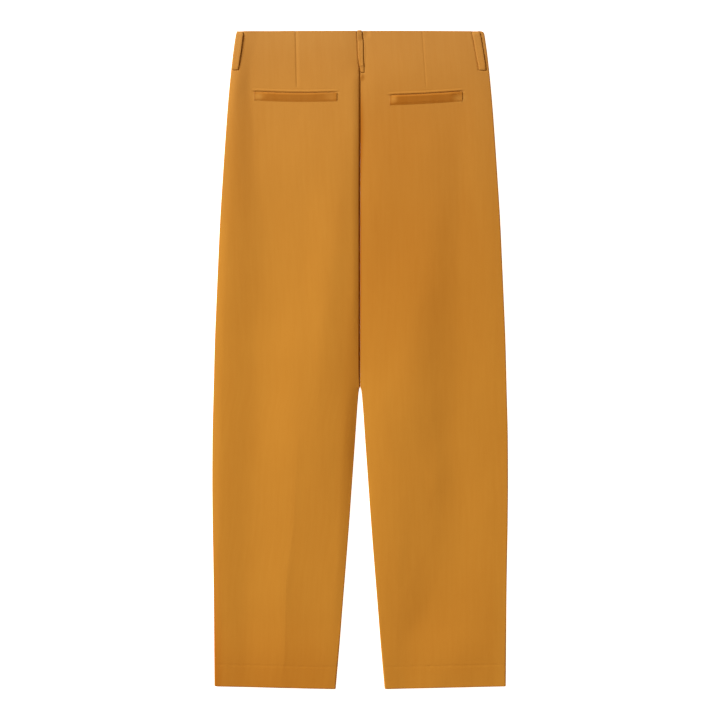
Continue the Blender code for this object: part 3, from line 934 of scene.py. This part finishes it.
def belt_loop(loop, form, material):
    """A loop from its folded lower end up the back, to the waist edge or over it."""
    wall = form.loop_wall / MM
    sections = loop.sections
    end = sections[-1].down
    start = form.wall / MM / 2 if loop.over else LOOP_SET_BACK
    down = np.linspace(end - wall / 2, start, round(end / LOOP_STEP))
    middle = read(sections, "middle", down)
    width = read(sections, "width", down)
    across = middle[:, None] + width[:, None] * np.array([-0.4, -0.2, 0.0, 0.2, 0.4])
    rows = np.broadcast_to(down[:, None], across.shape)
    under = np.where(
        across < 0,
        laid_height(LEGS[0], across, rows, form),
        laid_height(LEGS[1], across, rows, form),
    ).max(axis=1)
    loose = ease((down - LOOP_EDGE_WALL) / LOOP_EDGE_RUN)
    walls = list(LOOP_EDGE_WALL + (wall - LOOP_EDGE_WALL) * loose)
    gap = LOOP_EDGE_GAP + (LAID_ON - LOOP_EDGE_GAP) * loose
    z = under - LOOP_PRESS + gap + read(sections, "lift", down) + np.array(walls) / 2
    tilt = -np.radians(read(sections, "tilt", down))
    z = z + np.abs(np.sin(tilt)) * width / 2
    centres = list(np.stack([middle, WAIST_Y - down, z], -1))
    ups = [np.array([math.sin(a), 0.0, math.cos(a)]) for a in tilt]
    widths = list(width)
    for share in np.linspace(1, 0.1, LOOP_END_STEPS):
        centres.insert(0, centres[0] - [0, wall / 2 / LOOP_END_STEPS, wall / 2 * LOOP_END_DROP])
        ups.insert(0, ups[0])
        walls.insert(0, wall * math.sqrt(1 - (1 - share) ** 2))
        widths.insert(0, widths[0] - LOOP_END_TAPER)
    if loop.over:
        inside = LOOP_EDGE_GAP + (walls[-1] + form.wall / MM) / 2
        pivot = centres[-1] - [0.0, 0.0, inside]
        turns = np.linspace(0, math.pi / 2, LOOP_END_STEPS + 1)[1:]
        for up in [np.array([0.0, math.sin(turn), math.cos(turn)]) for turn in turns]:
            centres.append(pivot + inside * up)
            ups.append(up)
        centres.append(centres[-1] - [0, 0, LOOP_TUCK])
        ups.append(ups[-1])
        walls += [walls[-1]] * (LOOP_END_STEPS + 1)
        widths += [widths[-1]] * (LOOP_END_STEPS + 1)
    return strap("loop_cloth_" + loop.name, centres, ups, widths, walls, material)


# --------------------------------------------------------------------- nodes and materials


class Tree:
    """Adds nodes to one node tree."""

    def __init__(self, tree):
        self.tree = tree

    def add(self, kind, settings=None, inputs=None):
        """A node of this type, with its settings first and then its sockets' values or links."""
        node = self.tree.nodes.new(kind)
        for name, value in (settings or {}).items():
            if name == "stops":
                for stop, (position, shade) in zip(node.color_ramp.elements, value):
                    stop.position = position
                    stop.color = (shade, shade, shade, 1.0)
            else:
                setattr(node, name, value)
        for name, value in (inputs or {}).items():
            if isinstance(value, Value):
                value = value.socket
            if isinstance(value, bpy.types.NodeSocket):
                self.tree.links.new(value, node.inputs[name])
            else:
                node.inputs[name].default_value = value
        return node

    def value(self, socket):
        return Value(self, socket)

    def parts(self, vector):
        """A vector's three parts as values."""
        spread = self.add("ShaderNodeSeparateXYZ", {}, {0: vector})
        return [self.value(socket) for socket in spread.outputs]


class Value:
    """A number in a node tree. Python's operators on it add Math nodes."""

    def __init__(self, tree, socket):
        self.tree = tree
        self.socket = socket

    def maths(self, operation, *numbers):
        node = self.tree.add("ShaderNodeMath", {"operation": operation}, dict(enumerate(numbers)))
        return Value(self.tree, node.outputs[0])

    def __add__(self, other):
        return self.maths("ADD", self, other)

    __radd__ = __add__

    def __sub__(self, other):
        return self.maths("SUBTRACT", self, other)

    def __rsub__(self, other):
        return self.maths("SUBTRACT", other, self)

    def __mul__(self, other):
        return self.maths("MULTIPLY", self, other)

    __rmul__ = __mul__

    def __truediv__(self, other):
        return self.maths("DIVIDE", self, other)

    def sine(self):
        return self.maths("SINE", self)

    def largest(self, other):
        return self.maths("MAXIMUM", self, other)


def new_material(name):
    """A material with only its output, as a Tree, and a Principled shader made last."""
    material = bpy.data.materials.new(name)
    material.use_nodes = True
    material.node_tree.nodes.clear()
    return material, Tree(material.node_tree)


def shaded(tree, base, roughness, normal=None, settings=None):
    """Ends a material in one Principled shader. settings are the same all over the surface."""
    inputs = {"Base Color": base, "Roughness": roughness, **(settings or {})}
    if normal is not None:
        inputs["Normal"] = normal
    shader = tree.add("ShaderNodeBsdfPrincipled", {}, inputs)
    tree.add("ShaderNodeOutputMaterial", {}, {"Surface": shader.outputs[0]})


def noise_at(tree, vector, scale, detail=2.0):
    """Noise from -1 to 1. scale holds a size for each axis, in metres."""
    stretched = tree.add("ShaderNodeVectorMath", {"operation": "DIVIDE"}, {0: vector, 1: scale})
    inputs = {"Vector": stretched.outputs[0], "Scale": 1.0, "Detail": detail}
    return tree.value(tree.add("ShaderNodeTexNoise", {}, inputs).outputs[0]) * 2 - 1


def bumped(tree, height, strength, distance):
    """A normal tipped by fine relief, whose full height is a distance in millimetres."""
    inputs = {"Height": height, "Strength": strength, "Distance": distance * MM}
    return tree.add("ShaderNodeBump", {}, inputs).outputs[0]


def place_in_garment(tree):
    return tree.add("ShaderNodeTexCoord").outputs["Object"]


def tinted(tree, colour, amount):
    """A colour made paler, or deeper where the amount is below zero. Its blue part changes most."""
    change = tree.add("ShaderNodeVectorMath", {"operation": "SCALE"}, {0: TINT_PARTS, "Scale": amount})
    inputs = {0: colour, 1: change.outputs[0], 2: colour}
    return tree.add("ShaderNodeVectorMath", {"operation": "MULTIPLY_ADD"}, inputs).outputs[0]


def painted_shade_and_light_spots(tree, x, y):
    """The sum of the soft places where the cloth's colour is made darker or paler: painted shade and
    painted light, with a few broad darker and paler patches.
    """
    total = 0.0
    for spot in PAINTED_SHADE_AND_LIGHT_SPOTS:
        across = (x - spot.x * MM) / (spot.reach_across * MM)
        along = (y - (WAIST_Y - spot.down) * MM) / (spot.reach_down * MM)
        near = (1 - (across * across + along * along)).largest(0.0)
        on_leg = x.maths("GREATER_THAN", x * spot.side, 0.0)
        total = near * near * on_leg * spot.shade + total
    return total


def cloth_material(finish, name, darker=0.0):
    """Fine twill: diagonal ribs of small threads, in yarns of slightly uneven colour."""
    material, tree = new_material(name)
    flat = tree.add("ShaderNodeUVMap", {"uv_map": "cloth"}).outputs[0]
    across, down, _ = tree.parts(flat)
    garment = place_in_garment(tree)
    x, y, _ = tree.parts(garment)

    turn = 2 * math.pi / finish.wale
    rib = ((across + down * RIB_SLANT) * turn).sine()
    warp = (across * (turn * 2.0)).sine()
    weft = (down * (turn * 2.0)).sine()
    weave = rib * RIB_SHARE + (warp + weft) * THREAD_SHARE

    yarn = noise_at(tree, flat, YARN, 3.0)
    slub = noise_at(tree, flat, SLUB)
    fleck = noise_at(tree, flat, FLECK)
    patch = noise_at(tree, garment, PATCH)
    uneven = (yarn * YARN_SHARE + slub * SLUB_SHARE + fleck * FLECK_SHARE) * finish.streak
    # shade holds the yarns' uneven colour and the weave, with the painted shade and painted light of the
    # spots; darker is painted shade over the whole material, for the welts.
    shade = uneven + patch * PATCH_SHADE + weave * WEAVE_SHADE + painted_shade_and_light_spots(tree, x, y) - darker
    fade = ((y - WAIST_Y * MM) / (OUTSEAM * MM) + 1).largest(0.0)
    fade = fade.maths("POWER", fade, FADE_POWER)
    colours = {0: fade, 6: (*finish.hem_colour, 1.0), 7: (*finish.waist_colour, 1.0)}
    dyed = tree.add("ShaderNodeMix", {"data_type": "RGBA"}, colours).outputs[2]

    nap = noise_at(tree, flat, NAP)
    normal = bumped(tree, weave + nap * NAP_RELIEF + fleck * FLECK_RELIEF, 0.5, WEAVE_DEPTH)
    settings = {
        "Sheen Weight": finish.sheen,
        "Sheen Roughness": 0.45,
        "Sheen Tint": (0.9, 0.9, 0.8, 1.0),
        "Specular IOR Level": 0.2,
    }
    roughness = finish.roughness + (nap + fleck) * 0.04
    shaded(tree, tinted(tree, dyed, shade), roughness, normal, settings)
    return material


def thread_material(finish):
    """Sewing thread: two plies turned round each other, with a little gloss."""
    material, tree = new_material("thread")
    garment = place_in_garment(tree)
    x, y, _ = tree.parts(garment)
    plies = ((x + y) * (2 * math.pi / (THREAD_PLY * MM))).sine()
    wear = noise_at(tree, garment, THREAD_WEAR)
    shade = tinted(tree, finish.thread_colour, wear * 0.08 + plies * 0.05)
    normal = bumped(tree, plies, 0.4, 0.05)
    shaded(tree, shade, 0.6 + wear * 0.08, normal, {"Sheen Weight": 0.1})
    return material


def zip_material(finish, name, rib, roughness, settings):
    """Woven zip tape, or its teeth: fine ribs across and a slightly uneven colour."""
    material, tree = new_material(name)
    garment = place_in_garment(tree)
    across, down, _ = tree.parts(garment)
    ribs = (down * (2 * math.pi / rib)).sine() + (across * (2 * math.pi / (rib * 0.7))).sine() * 0.4
    wear = noise_at(tree, garment, ZIP_WEAR, 3.0)
    shade = tinted(tree, finish.zip_colour, wear * 0.06 + ribs * 0.04)
    shaded(tree, shade, roughness + wear * 0.05, bumped(tree, ribs, 0.5, 0.1), settings)
    return material


def floor_material(stage):
    material, tree = new_material("pale floor")
    grain = noise_at(tree, place_in_garment(tree), (0.5, 0.5, 0.5))
    glow = {"Emission Color": (1.0, 1.0, 1.0, 1.0), "Emission Strength": FLOOR_GLOW}
    shaded(tree, tinted(tree, stage.floor_colour, grain * 0.004), 0.9 + grain * 0.02, None, glow)
    return material


# ------------------------------------------------------------- what repeats, by Geometry Nodes


def new_group(name, inputs, output):
    """A Geometry Nodes group with named inputs of these kinds, as a Tree, and its inputs."""
    group = bpy.data.node_groups.new(name, "GeometryNodeTree")
    for socket, kind in inputs.items():
        group.interface.new_socket(socket, in_out="INPUT", socket_type="NodeSocket" + kind)
    group.interface.new_socket(output, in_out="OUTPUT", socket_type="NodeSocketGeometry")
    tree = Tree(group)
    return tree, tree.add("NodeGroupInput").outputs


def end_group(tree, instances, material):
    """Every group here ends in real faces with their material."""
    real = tree.add("GeometryNodeRealizeInstances", {}, {0: instances})
    inputs = {"Geometry": real.outputs[0], "Material": material}
    coloured = tree.add("GeometryNodeSetMaterial", {}, inputs)
    tree.add("NodeGroupOutput", {}, {0: coloured.outputs[0]})
    return tree.tree


def stitch_group():
    """Stitches at even distances along the paths of a mesh of edges."""
    inputs = {"Paths": "Geometry", "Spacing": "Float", "Length": "Float", "Thread": "Float"}
    tree, given = new_group("stitches along paths", {**inputs, "Material": "Material"}, "Stitches")
    line = tree.add("GeometryNodeMeshToCurve", {}, {"Mesh": given["Paths"]}).outputs[0]
    inputs = {"Curve": line, "Length": given["Spacing"]}
    points = tree.add("GeometryNodeCurveToPoints", {"mode": "LENGTH"}, inputs).outputs
    ball = tree.add("GeometryNodeMeshUVSphere", {}, {"Segments": 6, "Rings": 5, "Radius": 0.5})
    inputs = {0: given["Thread"], 1: given["Thread"], 2: given["Length"]}
    size = tree.add("ShaderNodeCombineXYZ", {}, inputs).outputs[0]
    inputs = {"Points": points["Points"], "Rotation": points["Rotation"]}
    inputs |= {"Instance": ball.outputs["Mesh"], "Scale": size}
    stitches = tree.add("GeometryNodeInstanceOnPoints", {}, inputs)
    return end_group(tree, stitches.outputs[0], given["Material"])


def teeth_group():
    """Zip teeth in two rows that mesh, down the middle of a closed zip."""
    inputs = {"Row": "Geometry", "Teeth": "Int", "Pitch": "Float", "Tooth width": "Float"}
    inputs |= {"Tooth height": "Float", "Offset": "Float", "Material": "Material"}
    tree, given = new_group("zip teeth", inputs, "Teeth")
    pitch = tree.value(given["Pitch"])
    offset = tree.value(given["Offset"])
    step = tree.add("ShaderNodeCombineXYZ", {}, {1: 0 - pitch}).outputs[0]
    inputs = {0: given["Tooth width"], 1: pitch * TOOTH_SHARE, 2: given["Tooth height"]}
    size = tree.add("ShaderNodeCombineXYZ", {}, inputs).outputs[0]
    block = tree.add("GeometryNodeMeshCube", {}, {"Size": size}).outputs["Mesh"]
    both = tree.add("GeometryNodeJoinGeometry")
    for side in (-1, 1):
        inputs = {0: offset * side, 1: pitch * (0.25 * side)}
        start = tree.add("ShaderNodeCombineXYZ", {}, inputs).outputs[0]
        inputs = {"Count": given["Teeth"], "Start Location": start, "Offset": step}
        line = tree.add("GeometryNodeMeshLine", {"mode": "OFFSET"}, inputs).outputs[0]
        teeth = tree.add("GeometryNodeInstanceOnPoints", {}, {"Points": line, "Instance": block})
        tree.tree.links.new(teeth.outputs[0], both.inputs[0])
    inputs = {"Points": given["Row"], "Instance": both.outputs[0]}
    chain = tree.add("GeometryNodeInstanceOnPoints", {}, inputs)
    return end_group(tree, chain.outputs[0], given["Material"])


def grown(name, points, edges, group, values, material):
    """Runs a Geometry Nodes group on points and edges, and keeps what it makes as a plain mesh."""
    seed_mesh = bpy.data.meshes.new(name + " paths")
    seed_mesh.from_pydata([tuple(point) for point in points], edges, [])
    seed = bpy.data.objects.new(name + " paths", seed_mesh)
    bpy.context.scene.collection.objects.link(seed)
    modifier = seed.modifiers.new(group.name, "NODES")
    modifier.node_group = group
    sockets = {item.name: item.identifier for item in group.interface.items_tree if item.in_out == "INPUT"}
    for key, value in {**values, "Material": material}.items():
        modifier[sockets[key]] = value
    evaluated = seed.evaluated_get(bpy.context.evaluated_depsgraph_get())
    mesh = bpy.data.meshes.new_from_object(evaluated)
    mesh.name = name
    seed.modifiers.remove(modifier)
    bpy.data.objects.remove(seed)
    bpy.data.meshes.remove(seed_mesh)
    if not mesh.polygons:
        raise RuntimeError(f"{name}: the group made no faces")
    return finished(name, mesh, material)


def joined_paths(paths):
    """The points and edges of several open paths."""
    points = []
    edges = []
    for path in paths:
        edges += [(len(points) + k, len(points) + k + 1) for k in range(len(path) - 1)]
        points += list(path)
    return points, edges


# ---------------------------------------------------------------------------- the operators


class TROUSERS_OT_front_panels(bpy.types.Operator):
    """Makes the two front panels, which lie face down on the surface"""

    bl_idname = "trousers.front_panels"
    bl_label = "Front panels"

    def execute(self, context):
        form, finish = context.scene.trousers_form, context.scene.trousers_finish
        material = cloth_material(finish, CLOTH)
        for leg in LEGS:
            piece = front_panel(leg, form, material)
            carried(piece, "cloth", "front_" + leg.name)
        return {"FINISHED"}


class TROUSERS_OT_back_panels(bpy.types.Operator):
    """Makes the two back panels, with their darts, pocket mouths, creases and hems"""

    bl_idname = "trousers.back_panels"
    bl_label = "Back panels"

    def execute(self, context):
        form = context.scene.trousers_form
        material = bpy.data.materials[CLOTH]
        for leg in LEGS:
            piece = back_panel(leg, form, material)
            carried(piece, "cloth", "back_" + leg.name)
        return {"FINISHED"}


class TROUSERS_OT_pocket_welts(bpy.types.Operator):
    """Makes the folded welts of the two back pockets"""

    bl_idname = "trousers.pocket_welts"
    bl_label = "Pocket welts"

    def execute(self, context):
        form, finish = context.scene.trousers_form, context.scene.trousers_finish
        # The welts' cloth is drawn darker by painted shade.
        material = cloth_material(finish, WELT_PAINTED_SHADE_CLOTH, finish.welt_painted_shade)
        for leg in LEGS:
            carried(pocket_welt(leg, form, material), "cloth", "pocket_welt_" + leg.name)
        return {"FINISHED"}


class TROUSERS_OT_belt_loops(bpy.types.Operator):
    """Makes the three belt loops of the back"""

    bl_idname = "trousers.belt_loops"
    bl_label = "Belt loops"

    def execute(self, context):
        form = context.scene.trousers_form
        material = bpy.data.materials[CLOTH]
        for loop in BELT_LOOPS:
            carried(belt_loop(loop, form, material), "cloth", "belt_loop_" + loop.name)
        return {"FINISHED"}


class TROUSERS_OT_zip(bpy.types.Operator):
    """Gives the closed zip its woven tape and its teeth"""

    bl_idname = "trousers.zip"
    bl_label = "Zip"

    def execute(self, context):
        finish, sewing = context.scene.trousers_finish, context.scene.trousers_sewing
        tape = zip_material(finish, "zip tape", TAPE_RIB * MM, 0.85, {"Sheen Weight": 0.1})
        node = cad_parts["zip"]
        node.data.materials.clear()
        node.data.materials.append(tape)
        low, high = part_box("zip")
        pitch = (high.y - low.y) / sewing.teeth
        values = {
            "Teeth": sewing.teeth - 1,
            "Pitch": pitch,
            "Tooth width": TOOTH_WIDTH * MM,
            "Tooth height": TOOTH_HEIGHT * MM,
            "Offset": TOOTH_OFFSET * MM,
        }
        start = ((low.x + high.x) / 2, high.y - pitch, high.z - TOOTH_SINK * MM)
        teeth = zip_material(finish, "zip teeth", TEETH_RIB * MM, 0.35, {"Specular IOR Level": 0.6})
        carried(grown("zip_teeth", [start], [], teeth_group(), values, teeth), "zip_tape")
        return {"FINISHED"}


class TROUSERS_OT_stitches(bpy.types.Operator):
    """Sews the small stitches that catch the hems and the ends of the pockets"""

    bl_idname = "trousers.stitches"
    bl_label = "Stitches"

    def execute(self, context):
        form, finish = context.scene.trousers_form, context.scene.trousers_finish
        sewing = context.scene.trousers_sewing
        thread = thread_material(finish)
        group = stitch_group()
        hems = []
        for leg in LEGS:
            down = OUTSEAM - form.hem_depth / MM
            end = half_width(down) - half_gap(down) - HEM_STITCH_END
            inward = np.linspace(HEM_STITCH_END, end, HEM_PATH_POINTS)
            x = leg.side * (half_width(down) - inward)
            rows = np.full_like(x, down)
            z = relief_height(leg, x, rows, form) + detail_height(leg, x, rows, form)
            hems.append(place(leg, inward, rows, z))
        values = {
            "Spacing": sewing.hem_spacing,
            "Length": HEM_STITCH * MM,
            "Thread": sewing.thread * HEM_THREAD,
        }
        points, edges = joined_paths(hems)
        carried(grown("hem_stitches", points, edges, group, values, thread), "cloth")
        tacks = []
        for leg in LEGS:
            welt = leg.welt
            for end in (welt.inner_in - TACK_BESIDE, welt.outer_in + TACK_BESIDE):
                x = np.full(TACK_PATH_POINTS, leg.side * end)
                down = mouth(leg, x)[1] + np.linspace(-TACK_ABOVE, welt.depth, TACK_PATH_POINTS)
                z = laid_height(leg, x, down, form) + sewing.thread / MM * THREAD_OUT
                tacks.append(to_frame(x, down, z))
        values = {
            "Spacing": sewing.tack_spacing,
            "Length": sewing.tack_spacing * TACK_OVERLAP,
            "Thread": sewing.thread,
        }
        points, edges = joined_paths(tacks)
        carried(grown("pocket_tacks", points, edges, group, values, thread), "cloth")
        return {"FINISHED"}


class TROUSERS_OT_stage(bpy.types.Operator):
    """Makes the pale floor, the soft light and the camera straight above"""

    bl_idname = "trousers.stage"
    bl_label = "Stage"

    def execute(self, context):
        stage = context.scene.trousers_stage
        scene = context.scene
        mesh = bpy.data.meshes.new("floor")
        corners = [(-1, -1), (1, -1), (1, 1), (-1, 1)]
        points = [(x * FLOOR_HALF, y * FLOOR_HALF, -FLOOR_BELOW * MM) for x, y in corners]
        mesh.from_pydata(points, [], [(0, 1, 2, 3)])
        mesh.materials.append(floor_material(stage))
        floor = bpy.data.objects.new("floor", mesh)
        scene.collection.objects.link(floor)

        lamp = bpy.data.lights.new("key", "AREA")
        lamp.shape = "DISK"
        lamp.size = KEY_SIZE
        lamp.energy = stage.key_power
        key = bpy.data.objects.new("key", lamp)
        flat = math.cos(stage.key_height)
        left, waistward = flat * math.cos(stage.key_turn), flat * math.sin(stage.key_turn)
        towards = Vector((-left, waistward, math.sin(stage.key_height)))
        key.location = towards * KEY_DISTANCE
        key.rotation_mode = "QUATERNION"
        key.rotation_quaternion = towards.to_track_quat("Z", "Y")
        scene.collection.objects.link(key)

        world = bpy.data.worlds.new("studio")
        scene.world = world
        world.use_nodes = True
        background = world.node_tree.nodes["Background"]
        background.inputs["Color"].default_value = (*stage.fill_colour, 1.0)
        background.inputs["Strength"].default_value = stage.fill
        scene.view_settings.view_transform = "Standard"
        scene.view_settings.look = "None"

        camera = bpy.data.cameras.new("camera")
        camera.lens = camera.sensor_width * stage.camera_height / stage.view_width
        camera.clip_end = 100.0
        seen = bpy.data.objects.new("camera", camera)
        seen.location = (-CAMERA_LEFT * MM, 0.0, stage.camera_height)
        scene.collection.objects.link(seen)
        scene.camera = seen
        return {"FINISHED"}


OPERATORS = (
    TROUSERS_OT_front_panels,
    TROUSERS_OT_back_panels,
    TROUSERS_OT_pocket_welts,
    TROUSERS_OT_belt_loops,
    TROUSERS_OT_zip,
    TROUSERS_OT_stitches,
    TROUSERS_OT_stage,
)
GROUPS = {
    "trousers_form": TrousersForm,
    "trousers_finish": TrousersFinish,
    "trousers_sewing": TrousersSewing,
    "trousers_stage": TrousersStage,
}


class TROUSERS_PT_pieces(bpy.types.Panel):
    """Lists the sizes and the pieces"""

    bl_idname = "TROUSERS_PT_pieces"
    bl_label = "Trousers"
    bl_space_type = "VIEW_3D"
    bl_region_type = "UI"
    bl_category = "Trousers"

    def draw(self, context):
        for name, group in GROUPS.items():
            box = self.layout.box()
            box.label(text=group.__doc__)
            for key in group.__annotations__:
                box.prop(getattr(context.scene, name), key)
        for operator in OPERATORS:
            self.layout.operator(operator.bl_idname)


def register():
    for kind in (*GROUPS.values(), *OPERATORS, TROUSERS_PT_pieces):
        bpy.utils.register_class(kind)
    for name, group in GROUPS.items():
        setattr(bpy.types.Scene, name, PointerProperty(type=group))


def unregister():
    for name in GROUPS:
        delattr(bpy.types.Scene, name)
    for kind in (TROUSERS_PT_pieces, *reversed(OPERATORS), *GROUPS.values()):
        bpy.utils.unregister_class(kind)


def main():
    register()
    bpy.ops.trousers.front_panels()
    bpy.ops.trousers.back_panels()
    bpy.ops.trousers.pocket_welts()
    bpy.ops.trousers.belt_loops()
    bpy.ops.trousers.zip()
    bpy.ops.trousers.stitches()
    bpy.ops.trousers.stage()


if __name__ == "__main__":
    main()
